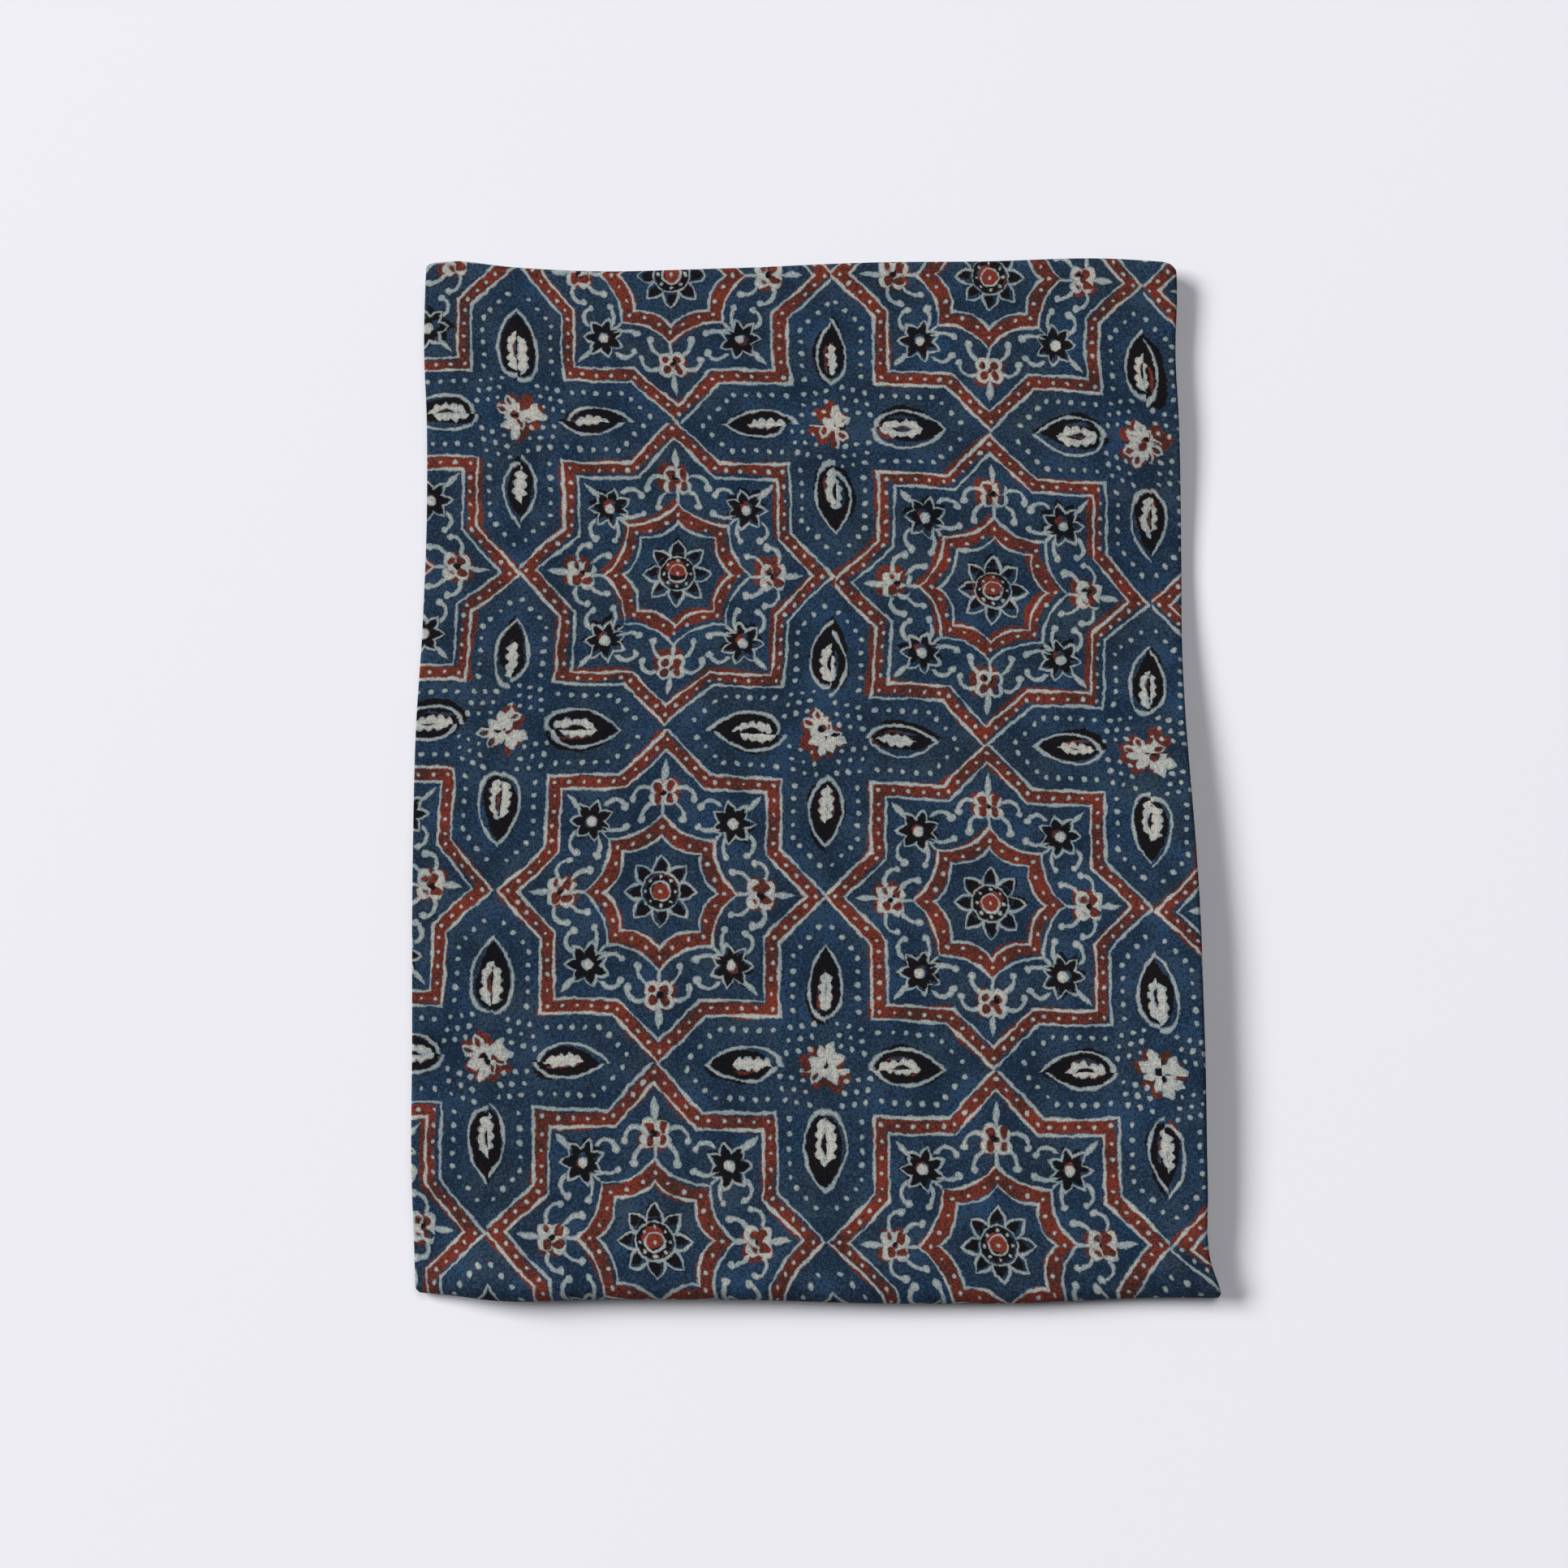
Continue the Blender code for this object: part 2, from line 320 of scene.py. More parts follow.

# %% [markdown]
# ## Soft unevenness
#
# Even a pressed cotton has slow waves and a few soft creases. Slow waves come from a sum of sine
# waves with seeded directions, and each crease from a listed line: a trough or a ridge that
# fades along its length. Inner layers wave more than the top one.

# %% Waves and creases
WAVE_SEED = 7
Crease = namedtuple("Crease", "x0 y0 x1 y1 depth width")
CREASES = (
    Crease(-128.0, 60.0, -20.0, 76.0, -0.35, 7.0),
    Crease(20.0, 70.0, 134.0, 58.0, -0.55, 9.0),
    Crease(-130.0, -70.0, -60.0, -62.0, 0.30, 8.0),
    Crease(40.0, -70.0, 136.0, -92.0, 0.40, 10.0),
    Crease(-90.0, -178.0, -60.0, -120.0, -0.35, 6.0),
    Crease(10.0, -182.0, 24.0, -140.0, -0.30, 6.0),
    Crease(104.0, -184.0, 116.0, -130.0, -0.40, 7.0),
    Crease(-30.0, 182.0, -24.0, 120.0, 0.28, 7.0),
    Crease(84.0, 184.0, 92.0, 128.0, -0.30, 7.0),
)


def slow_waves(s, t, shortest, longest, count, seed):
    """Sum of sine waves over the flat cloth, lengths and directions drawn from a seed, about -1 to 1."""
    draw = np.random.default_rng(seed)
    total = np.zeros_like(s)
    for _ in range(count):
        length = shortest * (longest / shortest) ** draw.random()
        angle = 2 * math.pi * draw.random()
        phase = 2 * math.pi * draw.random()
        total += np.sin(2 * math.pi * (s * math.cos(angle) + t * math.sin(angle)) / length + phase)
    return total / math.sqrt(count)


def crease_relief(x, y):
    """Height of all creases: a bell across each line, times a fade to nothing at its two ends."""
    relief = np.zeros_like(x)
    for c in CREASES:
        along_x, along_y = c.x1 - c.x0, c.y1 - c.y0
        length = math.hypot(along_x, along_y)
        along = ((x - c.x0) * along_x + (y - c.y0) * along_y) / length**2
        across = ((x - c.x0) * along_y - (y - c.y0) * along_x) / length
        fade = np.clip(along * (1 - along) * 4, 0, 1)
        relief += c.depth * np.exp(-((across / c.width) ** 2)) * fade
    return relief


# %% Settle the even stack
def round_corners(x, y):
    """Corners of the plan as quarter circles: the square to disc map inside each corner's square."""
    round_x, round_y = x.copy(), y.copy()
    for corner in CORNERS:
        here = (x * corner.side_x >= 0) & (y * corner.side_y >= 0)
        a = np.clip((abs(x) - SPAN_X / 2) / corner.radius + 1, 0, 1)
        b = np.clip((abs(y) - SPAN_Y / 2) / corner.radius + 1, 0, 1)
        round_x -= here * corner.side_x * corner.radius * a * (1 - np.sqrt(1 - b**2 / 2))
        round_y -= here * corner.side_y * corner.radius * b * (1 - np.sqrt(1 - a**2 / 2))
    return round_x, round_y


def stack_height(x, y):
    """Height of the stack over a place: the middle's, drawn to each edge's own near that edge."""
    wave_x = np.sin(2 * math.pi * x / SWELL_LENGTH_X + SWELL_PHASE)
    height = MIDDLE_HEIGHT + SWELL_HEIGHT * wave_x * np.sin(2 * math.pi * y / SWELL_LENGTH_Y)
    edges = (
        (SPAN_X / 2 + x, table_curve(SIDES, "y", "left_height", y)),
        (SPAN_X / 2 - x, table_curve(SIDES, "y", "right_height", y)),
        (SPAN_Y / 2 + y, table_curve(ENDS, "x", "near_height", x)),
        (SPAN_Y / 2 - y, table_curve(ENDS, "x", "far_height", x)),
    )
    for distance, edge_height in edges:
        height = height + (edge_height - height) * np.exp(-((np.maximum(distance, 0) / EDGE_REACH) ** 2))
    return height


def settle(x, y, z):
    """Move points of the even stack to the uneven outline and height of the hand-folded one."""
    x, y = round_corners(x, y)
    left = table_curve(SIDES, "y", "left", y)
    right = table_curve(SIDES, "y", "right", y)
    far = table_curve(ENDS, "x", "far", x)
    near = table_curve(ENDS, "x", "near", x)
    low = 1 - z / STACK_HEIGHT
    slip = -SLIP * low * (1 + np.sin(2 * math.pi * (y + SLIP_SHIFT * low) / SLIP_LENGTH)) / 2
    settled_x = left + (right - left) * (x / SPAN_X + 0.5) * (1 + slip / SPAN_X) - slip / 2
    settled_y = near + (far - near) * (y / SPAN_Y + 0.5)
    relief = crease_relief(settled_x, settled_y) * (1 - low) ** 2
    return settled_x, settled_y, z / STACK_HEIGHT * (stack_height(x, y) + relief)


# %% [markdown]
# ## The cloth's mesh
#
# The mesh is one closed sheet: an outer and an inner face, joined round the free edges. Each layer's
# height gets a little of the slow waves, faded out at the floor, so that layers touch here and part
# there, as they do when a hand smooths them.

# %% Build the folded sheet
LAYER_WAVE = 0.30                        # mm
SHORTEST_WAVE, LONGEST_WAVE, WAVE_COUNT = 45.0, 160.0, 14
TOP_SHARE = 0.4                          # of the waves that the top layer keeps


def folded_sheet():
    """Grid of points (section, side, path, xyz) and flat places (section, path, st) of the cloth."""
    across = normals(section)
    outward = normals(path)
    s, t = np.meshgrid(section_run, -path_run, indexing="ij")
    wave = slow_waves(s, t, SHORTEST_WAVE, LONGEST_WAVE, WAVE_COUNT, WAVE_SEED)
    middle = 3 * LAYER_PITCH + STRIP_HALF
    faces = []
    for side in (-1.0, 1.0):
        edge = section + across * side * CLOTH_THICKNESS / 2
        lift = edge[:, 1][:, None]
        x = np.repeat(edge[:, 0][:, None], len(path), axis=1)
        y = -(path[:, 0] + outward[:, 0] * lift)
        z = middle + path[:, 1] + outward[:, 1] * lift
        hold = np.clip(z / (2 * LAYER_PITCH), 0, 1)
        hold = hold * np.clip((STACK_HEIGHT - z) / LAYER_PITCH + TOP_SHARE, 0, 1)
        faces.append(np.stack(settle(x, y, z + LAYER_WAVE * wave * hold), axis=-1))
    return np.stack(faces, axis=1), np.stack([s, t], axis=-1)


def sheet_faces(section_count, path_count):
    """Quads of the closed sheet: its two sides and its four edges, all facing out."""
    index = np.arange(section_count * 2 * path_count).reshape(section_count, 2, path_count)
    inner, outer = index[:, 0], index[:, 1]

    def quads(a, b, c, d):
        """Rows of four corners, out of four grids of them."""
        return np.stack([a.ravel(), b.ravel(), c.ravel(), d.ravel()], axis=1)

    return np.concatenate([
        quads(outer[:-1, :-1], outer[:-1, 1:], outer[1:, 1:], outer[1:, :-1]),
        quads(inner[:-1, :-1], inner[1:, :-1], inner[1:, 1:], inner[:-1, 1:]),
        quads(inner[0, :-1], inner[0, 1:], outer[0, 1:], outer[0, :-1]),
        quads(outer[-1, :-1], outer[-1, 1:], inner[-1, 1:], inner[-1, :-1]),
        quads(outer[:-1, 0], outer[1:, 0], inner[1:, 0], inner[:-1, 0]),
        quads(inner[:-1, -1], inner[1:, -1], outer[1:, -1], outer[:-1, -1]),
    ])


sheet_points, flat_places = folded_sheet()
low, high = sheet_points.reshape(-1, 3).min(axis=0), sheet_points.reshape(-1, 3).max(axis=0)
PLAN_MIDDLE = (low + high) / 2
sheet_points = sheet_points - np.array([PLAN_MIDDLE[0], PLAN_MIDDLE[1], low[2]])
print("sheet size", np.round(high - low, 2), "moved by", np.round(PLAN_MIDDLE[:2], 2))

# %% [markdown]
# ## Where the blocks fell
#
# The printer sets each block by eye, so the stars don't sit on an exact grid. A small table has the
# places of the star middles and of the star tips beside them, in millimetres on the folded stack.
# Curves through them turn a place on the flat cloth into a count of repeats, and on past the stars at
# the usual pitch. A second table says how far the red and the black block missed the outlines at
# each star, in repeats, and further stars have theirs drawn from a seed.

# %% Print coordinates
REPEAT = 116.0
StarRow = namedtuple("StarRow", "left_x left_y first_x first_y second_x second_y right_x right_y")
STAR_ROWS = (
    StarRow(-106.1, 182.9, -49.9, 180.3, 67.4, 180.0, 123.7, 176.5),
    StarRow(-103.3, 67.4, -46.5, 67.5, 66.6, 61.2, 123.7, 57.0),
    StarRow(-108.8, -47.4, -51.5, -47.3, 63.9, -51.6, 120.2, -54.1),
    StarRow(-109.3, -164.6, -52.1, -167.3, 64.5, -168.6, 122.8, -169.4),
)
MARKS = (("left", -0.5), ("first", 0.0), ("second", 1.0), ("right", 1.5))

Block = namedtuple("Block", "column row red_x red_y black_x black_y")
BLOCKS = (
    Block(0, 0, 0.005, -0.005, 0.006, 0.000),
    Block(1, 0, 0.005, -0.005, -0.006, 0.004),
    Block(0, -1, -0.014, 0.015, -0.004, 0.014),
    Block(1, -1, -0.019, 0.009, -0.007, 0.013),
    Block(0, -2, 0.006, 0.000, 0.004, -0.002),
    Block(1, -2, -0.008, 0.005, 0.004, 0.004),
    Block(0, -3, -0.006, -0.006, -0.006, 0.006),
    Block(1, -3, -0.004, 0.004, -0.006, 0.004),
)
BLOCK_SEED, BLOCK_ERROR = 11, 0.010
BLOCK_SPAN = 6                       # blocks drawn on each side of the first one
EASE_START, EASE_WIDTH = 0.35, 0.3   # the share of a repeat over which one miss turns into the next


def flat_place(x, y):
    """Place on the flat cloth of a point of the top layer: undo the settling by three corrections."""
    s, t = np.array(x, float), np.array(y, float)
    for _ in range(3):
        at_x, at_y, _z = settle(s, t, np.full_like(s, STACK_HEIGHT))
        s, t = s + (x - at_x), t + (y - at_y)
    return s, t


def repeat_counts(s, t):
    """Repeats across and up from the first row's first star, by straight steps between the marks."""
    row_counts = np.arange(1.0, -len(STAR_ROWS) - 1, -1)
    marks = []
    for name, count in MARKS:
        x = np.array(column(STAR_ROWS, name + "_x")) + PLAN_MIDDLE[0]
        y = np.array(column(STAR_ROWS, name + "_y")) + PLAN_MIDDLE[1]
        mark_s, mark_t = flat_place(x, y)
        mark_s = [mark_s[0], *mark_s, mark_s[-1]]
        mark_t = [mark_t[0] + REPEAT, *mark_t, mark_t[-1] - REPEAT]
        at_s = smooth_through(np.clip(t, mark_t[-1], mark_t[0]), mark_t, mark_s)
        marks.append((count, at_s, smooth_through(t, mark_t, row_counts)))
    across = marks[0][0] + np.minimum(s - marks[0][1], 0) / REPEAT + np.maximum(s - marks[-1][1], 0) / REPEAT
    up = marks[0][2].copy()
    for (count, at_s, at_up), (next_count, next_s, next_up) in zip(marks, marks[1:]):
        share = np.clip((s - at_s) / (next_s - at_s), 0, 1)
        across += share * (next_count - count)
        up += share * (next_up - at_up)
    return across, up


def block_errors(across, up):
    """Red and black misplacement at each point: its own star's, eased to the next one's between stars."""
    draw = np.random.default_rng(BLOCK_SEED)
    size = 2 * BLOCK_SPAN + 1
    errors = draw.normal(0.0, BLOCK_ERROR, (size, size, 4))
    for block in BLOCKS:
        errors[block.column + BLOCK_SPAN, block.row + BLOCK_SPAN] = block[2:]

    def ease(count):
        """The star below a count, and how far on to the next: 3 * t squared - 2 * t cubed."""
        count = np.clip(count + BLOCK_SPAN, 0, size - 1.001)
        whole = np.floor(count).astype(int)
        share = np.clip((count - whole - EASE_START) / EASE_WIDTH, 0, 1)
        return whole, (share * share * (3 - 2 * share))[..., None]

    (i, a), (j, b) = ease(across), ease(up)
    low_row = errors[i, j] * (1 - a) + errors[i + 1, j] * a
    high_row = errors[i, j + 1] * (1 - a) + errors[i + 1, j + 1] * a
    return low_row * (1 - b) + high_row * b


counts = np.stack(repeat_counts(flat_places[..., 0], flat_places[..., 1]), axis=-1)
errors = block_errors(counts[..., 0], counts[..., 1])
print("repeats across", counts[..., 0].min().round(2), "to", counts[..., 0].max().round(2))


# %% Make the piece
def make_sheet(points, maps):
    """The folded cloth as a mesh in metres, with print places, in repeats, as UV maps."""
    section_count, _, path_count, _ = points.shape
    faces = sheet_faces(section_count, path_count)
    mesh = bpy.data.meshes.new("printed_cloth")
    mesh.vertices.add(points.size // 3)
    mesh.vertices.foreach_set("co", (points.reshape(-1, 3) * MM).ravel())
    mesh.loops.add(faces.size)
    mesh.loops.foreach_set("vertex_index", faces.ravel().astype(np.int32))
    mesh.polygons.add(len(faces))
    mesh.polygons.foreach_set("loop_start", np.arange(len(faces), dtype=np.int32) * 4)
    mesh.polygons.foreach_set("use_smooth", np.ones(len(faces), dtype=bool))
    mesh.update(calc_edges=True)
    for name, places in maps.items():
        places = np.repeat(places[:, None], 2, axis=1).reshape(-1, 2)
        layer = mesh.uv_layers.new(name=name)
        layer.data.foreach_set("uv", places[faces.ravel()].ravel().astype(np.float32))
    piece = bpy.data.objects.new("printed_cloth", mesh)
    bpy.context.scene.collection.objects.link(piece)
    return piece


UV_MAPS = {"print": counts, "red_block": counts - errors[..., :2], "black_block": counts - errors[..., 2:]}
cloth = make_sheet(sheet_points, UV_MAPS)
print("triangles", 2 * len(cloth.data.polygons))

# %% [markdown]
# ## Shader maths as Python
#
# A printed pattern is a set of shapes, and a shape is a number at every point: its distance from the
# shape's edge, negative inside. The small class below lets those numbers be written as ordinary
# Python. Each operator adds one Math node, and `node` adds any other kind.


# %% Wires
class Wire:
    """One output socket of a node, which Python's operators combine into new nodes."""

    tree = None

    def __init__(self, socket):
        self.socket = socket

    @classmethod
    def node(cls, kind, settings=None, inputs=None, output=0):
        """Add a node of a kind, set its settings, then link or set the inputs named or numbered."""
        made = cls.tree.nodes.new(kind)
        for name, value in (settings or {}).items():
            setattr(made, name, value)
        for key, value in (inputs or {}).items():
            if isinstance(value, Wire):
                cls.tree.links.new(value.socket, made.inputs[key])
            else:
                made.inputs[key].default_value = value
        return cls(made.outputs[output])

    def math(self, operation, *others, clamp=False):
        """A Math node of this wire and others."""
        inputs = dict(enumerate((self, *others)))
        return self.node("ShaderNodeMath", {"operation": operation, "use_clamp": clamp}, inputs)

    def __add__(self, other):
        return self.math("ADD", other)

    def __sub__(self, other):
        return self.math("SUBTRACT", other)

    def __rsub__(self, other):
        return self.node("ShaderNodeMath", {"operation": "SUBTRACT"}, {0: other, 1: self})

    def __mul__(self, other):
        return self.math("MULTIPLY", other)

    def __truediv__(self, other):
        return self.math("DIVIDE", other)

    __radd__ = __add__
    __rmul__ = __mul__

    def __abs__(self):
        return self.math("ABSOLUTE")

    def scaled(self, factor, plus):
        """This wire times a factor, plus a number, in one node."""
        return self.math("MULTIPLY_ADD", factor, plus)

    def vector(self, operation, *others, output=0):
        """A Vector Math node of this wire and others."""
        inputs = dict(enumerate((self, *others)))
        return self.node("ShaderNodeVectorMath", {"operation": operation}, inputs, output)

    def distance(self, x, y):
        """Distance of this place from a fixed one."""
        return self.vector("DISTANCE", (x, y, 0.0), output="Value")

    def dot(self, x, y):
        """This place measured along a fixed direction."""
        return self.vector("DOT_PRODUCT", (x, y, 0.0), output="Value")

    def parts(self):
        """The two coordinates of a place."""
        made = self.tree.nodes.new("ShaderNodeSeparateXYZ")
        self.tree.links.new(self.socket, made.inputs[0])
        return Wire(made.outputs[0]), Wire(made.outputs[1])


def least(*wires):
    """The smallest of some wires or numbers: the union of their shapes."""
    result = wires[0]
    for wire in wires[1:]:
        result = result.math("MINIMUM", wire)
    return result


def most(*wires):
    """The largest of some wires or numbers: what their shapes share."""
    result = wires[0]
    for wire in wires[1:]:
        result = result.math("MAXIMUM", wire)
    return result


def place(x, y):
    """A place from two coordinates."""
    return Wire.node("ShaderNodeCombineXYZ", None, {0: x, 1: y})


def mix_colours(factor, first, second):
    """Colour between two, by a factor from 0 to 1."""
    settings = {"data_type": "RGBA", "clamp_factor": True}
    return Wire.node("ShaderNodeMix", settings, {"Factor": factor, 6: first, 7: second}, 2)


def noise(at, scale, detail=2.0, roughness=0.5, output="Fac"):
    """Blender's noise at a place, from 0 to 1."""
    settings = {"noise_dimensions": "2D"}
    inputs = {"Vector": at, "Scale": scale, "Detail": detail, "Roughness": roughness}
    return Wire.node("ShaderNodeTexNoise", settings, inputs, output)


def cells(at, scale):
    """Distance to the nearest of scattered points, which makes knobbly edges."""
    settings = {"voronoi_dimensions": "2D", "feature": "F1"}
    return Wire.node("ShaderNodeTexVoronoi", settings, {"Vector": at, "Scale": scale})


# %% [markdown]
# ## Drawing with distances
#
# All sizes from here on are shares of one repeat, as charted. One block holds a star, and half an
# almond on each side of it, and a quarter of a rosette at each corner. Folding it at the star's
# middle, left to right and top to bottom, makes four quarters alike, so each shape is drawn once.
# Where a shape is also the same on both sides of the diagonal, only the part on one side is drawn.

# %% Shapes
ROOT_HALF = math.sqrt(0.5)


def star_edge(sum_xy, far, square, diamond):
    """Eight-pointed star: the union of a square of a half side and a diamond of a half diagonal."""
    return least(far - square, (sum_xy - diamond) * ROOT_HALF)


def ring_edge(near, far, centre_near, centre_far, radius):
    """Cusped ring: what is left outside circles that stand round it, two to each quarter."""
    held = place(near.math("MINIMUM", centre_near), far.math("MINIMUM", centre_far))
    return radius - held.distance(centre_near, centre_far)


def line(edge, width):
    """A line of some width along a shape's edge."""
    return abs(edge) - width / 2


def lens(along, across, middle, half_length, half_width):
    """Leaf with two points: half width times one minus the squared share of its half length."""
    share = (along - middle) / half_length
    return (across + share * share * half_width - half_width) * 0.9


def nearest_step(along, first, step, count):
    """Distance along a row to the nearest of count marks: first, first + step, and so on."""
    index = along.scaled(1 / step, -first / step).math("ROUND")
    index = index.math("MAXIMUM", 0.0).math("MINIMUM", count - 1.0)
    return along - index.scaled(step, first)


def dot_row(along, across, first, step, count, radius):
    """Round dots on the line where across is 0."""
    off = nearest_step(along, first, step, count)
    return (off * off + across * across).math("SQRT") - radius


def hook(at, start, bend, end, width, blob):
    """A curl: the arc of the circle through three charted points, with a round blob at its end."""
    (ax, ay), (bx, by), (cx, cy) = start, bend, end
    d = 2 * (ax * (by - cy) + bx * (cy - ay) + cx * (ay - by))
    a2, b2, c2 = ax**2 + ay**2, bx**2 + by**2, cx**2 + cy**2
    ux = (a2 * (by - cy) + b2 * (cy - ay) + c2 * (ay - by)) / d
    uy = (a2 * (cx - bx) + b2 * (ax - cx) + c2 * (bx - ax)) / d
    radius = math.hypot(ax - ux, ay - uy)
    chord_x, chord_y = cx - ax, cy - ay
    length = math.hypot(chord_x, chord_y)
    out_x, out_y = -chord_y / length, chord_x / length
    if (bx - ax) * out_x + (by - ay) * out_y < 0:
        out_x, out_y = -out_x, -out_y
    arc = abs(at.distance(ux, uy) - radius) - width / 2
    beyond = (ax * out_x + ay * out_y) - at.dot(out_x, out_y)
    return least(most(arc, beyond), at.distance(cx, cy) - blob)


# %% The folded quarter
Quarter = namedtuple("Quarter", "x y far near sum_xy skew octant")


def quarter(at):
    """Place in the block, folded left to right and top to bottom, and on the diagonal."""
    x, y = at.vector("ABSOLUTE").parts()
    far, near = x.math("MAXIMUM", y), x.math("MINIMUM", y)
    return Quarter(x, y, far, near, x + y, (far - near) * ROOT_HALF, place(far, near))


# %% Star bands and dots
OUTER_STAR = (0.360, 0.500)        # half side of the square, half diagonal of the diamond
INNER_STAR = (0.316, 0.4375)
OUTER_RING = (0.150, 0.350, 0.190)  # middle of the hollow, near and far, and its radius
INNER_RING = (0.100, 0.243, 0.1235)
RING_DOTS = ((0.133, 0.133), (0.141, 0.086), (0.166, 0.038), (0.194, 0.0))   # far and near
BAND_DOT, GROUND_DOT, CLUSTER_DOT = 0.0054, 0.0073, 0.0070                   # radii


def band_lines(q):
    """Outlines of the star's and the ring's bands, and the dots in and beside them."""
    shapes = [
        line(star_edge(q.sum_xy, q.far, *OUTER_STAR), 0.0086),
        line(star_edge(q.sum_xy, q.far, *INNER_STAR), 0.0078),
        line(ring_edge(q.near, q.far, *OUTER_RING), 0.0074),
        line(ring_edge(q.near, q.far, *INNER_RING), 0.0072),
        dot_row(q.near, q.far - 0.338, 0.156, 0.0455, 5, BAND_DOT),
        dot_row(q.skew, (q.sum_xy - 0.469) * ROOT_HALF, 0.157, 0.0435, 5, BAND_DOT),
        dot_row(q.near, q.far - 0.399, 0.180, 0.0400, 5, GROUND_DOT),
        dot_row(q.skew, (q.sum_xy - 0.571) * ROOT_HALF, 0.189, 0.0410, 3, GROUND_DOT),
    ]
    for far, near in RING_DOTS:
        shapes.append(q.octant.distance(far, near) - BAND_DOT)
    return shapes


# %% Flower in the star's middle
PETAL_START, DISC = 0.056, 0.050


def petal_frame(q):
    """Reach, and along and across one of eight petals: the octant folded once more on its half angle."""
    angle = q.near.math("ARCTAN2", q.far)
    angle = angle.math("MINIMUM", math.pi / 4 - angle)
    reach = q.octant.vector("LENGTH", output="Value")
    return reach, reach * angle.math("COSINE"), reach * angle.math("SINE")


def middle_flower_lines(reach, along, across):
    """Eight pointed petals round a ringed disc with a wreath of dots."""
    return [
        most(line(lens(along, across, 0.066, 0.043, 0.0240), 0.0070), PETAL_START - reach),
        abs(reach - 0.057) - 0.0026,
        abs(reach - 0.0285) - 0.0028,
        place(along, across).distance(0.043, 0.0) - 0.0050,
        reach - 0.0055,
    ]


# %% Dark star on the diagonal
DARK_STAR_AT, DARK_STAR_HEART = 0.216, 0.019


def dark_star_edge(dx, dy, reach, tip, valley):
    """Seven-pointed star: its radius runs in straight zigzags of the angle from tip to valley."""
    turn = dy.math("ARCTAN2", dx) * (7 / (2 * math.pi))
    zigzag = abs(turn.math("FRACT") - 0.5) * 2.0
    return (reach - zigzag.scaled(tip - valley, valley)) * 0.75


def dark_star_lines(q):
    """The dark star's outline and dot, its leaf towards the corner, its stem and four curls."""
    dx, dy = q.x - DARK_STAR_AT, q.y - DARK_STAR_AT
    at = place(dx, dy)
    reach = at.vector("LENGTH", output="Value")
    outward = (dx + dy) * ROOT_HALF
    sideways = abs(dx - dy) * ROOT_HALF
    half = place(dx.math("MINIMUM", dy), dx.math("MAXIMUM", dy))
    return [
        line(dark_star_edge(dx, dy, reach, 0.066, 0.040), 0.0066),
        at.distance(0.001, -0.001) - 0.0160,
        lens(outward, sideways, 0.084, 0.034, 0.0085),
        most(abs(outward + 0.060) - 0.014, sideways - 0.0042),
        hook(half, (-0.040, 0.048), (-0.073, 0.065), (-0.099, 0.044), 0.0120, 0.0112),
        hook(half, (-0.044, -0.020), (-0.076, -0.028), (-0.106, -0.018), 0.0120, 0.0110),
    ]


# %% Small rosette on each axis
PETAL_ROUND, PETAL_HOLE, PETAL_MARGIN = 0.0240, 0.0125, 0.003


def axis_rosette_reach(q):
    """Distance to the nearest petal's middle: four petals in a square round the rosette's own middle."""
    return least(q.octant.distance(0.3205, 0.0195), q.octant.distance(0.2850, 0.0200))


def axis_rosette_lines(at, q):
    """The rosette on each axis with its pierced petals, its bud, its stem to the ring and four curls."""
    closing = noise(at, 34.0, 0.0).scaled(0.026, -0.0125)
    reach = axis_rosette_reach(q)
    holes = least(reach - PETAL_HOLE, q.octant.distance(0.3025, 0.0) - 0.0075)
    return [
        most(reach - PETAL_ROUND + closing * 0.5, closing - holes),
        lens(q.far, q.near, 0.368, 0.036, 0.0100),
        most(abs(q.far - 0.250) - 0.022, q.near - 0.0050),
        hook(q.octant, (0.272, 0.034), (0.251, 0.058), (0.219, 0.064), 0.0120, 0.0114),
        hook(q.octant, (0.315, 0.042), (0.316, 0.078), (0.282, 0.095), 0.0120, 0.0114),
    ]


# %% Almonds, kernels and rosettes between the stars
ALMOND_MIDDLE, ALMOND_HALF_WIDTH = 0.226, 0.0545
ALMOND_TIP, ALMOND_END = 0.127, 0.087       # lengths from the widest place
KERNEL_MIDDLE, LOBE_PITCH, LOBE_DEPTH = 0.220, 0.0290, 0.0085
ROSETTE_DISC, ROSETTE_EYE, RED_MARGIN = 0.041, 0.0140, 0.008
SLIT_CHANCE, HOLE_CHANCE = (-0.06, 0.035), (-0.06, 0.046)   # how far chance closes a slit or a hole


def almond_edge(near, far):
    """Almond: a pair of arcs towards the star's tip, and half an ellipse beyond its widest place.

    An arc that rises w over a length l has its middle (l * l - w * w) / (2 * w) beyond the axis. The
    ellipse is a circle of radius w after its length is squeezed.
    """
    w = ALMOND_HALF_WIDTH
    along = far - ALMOND_MIDDLE
    deep = along.math("GREATER_THAN", 0.0) * ((ALMOND_TIP**2 - w**2) / (2 * w))
    squeezed = along.math("MAXIMUM", 0.0) + along.math("MINIMUM", 0.0) * (w / ALMOND_END)
    return place(squeezed, near + deep).vector("LENGTH", output="Value") - deep - w


def kernel_half(near, far, half_length, half_width, gap):
    """Half of a blunt leaf, on one side of the gap between two blocks.

    Its half width falls with the fourth power of the share of its half length.
    """
    share = (far - KERNEL_MIDDLE) / half_length
    share = share * share
    return most(near + share * share * half_width - half_width, gap - near)


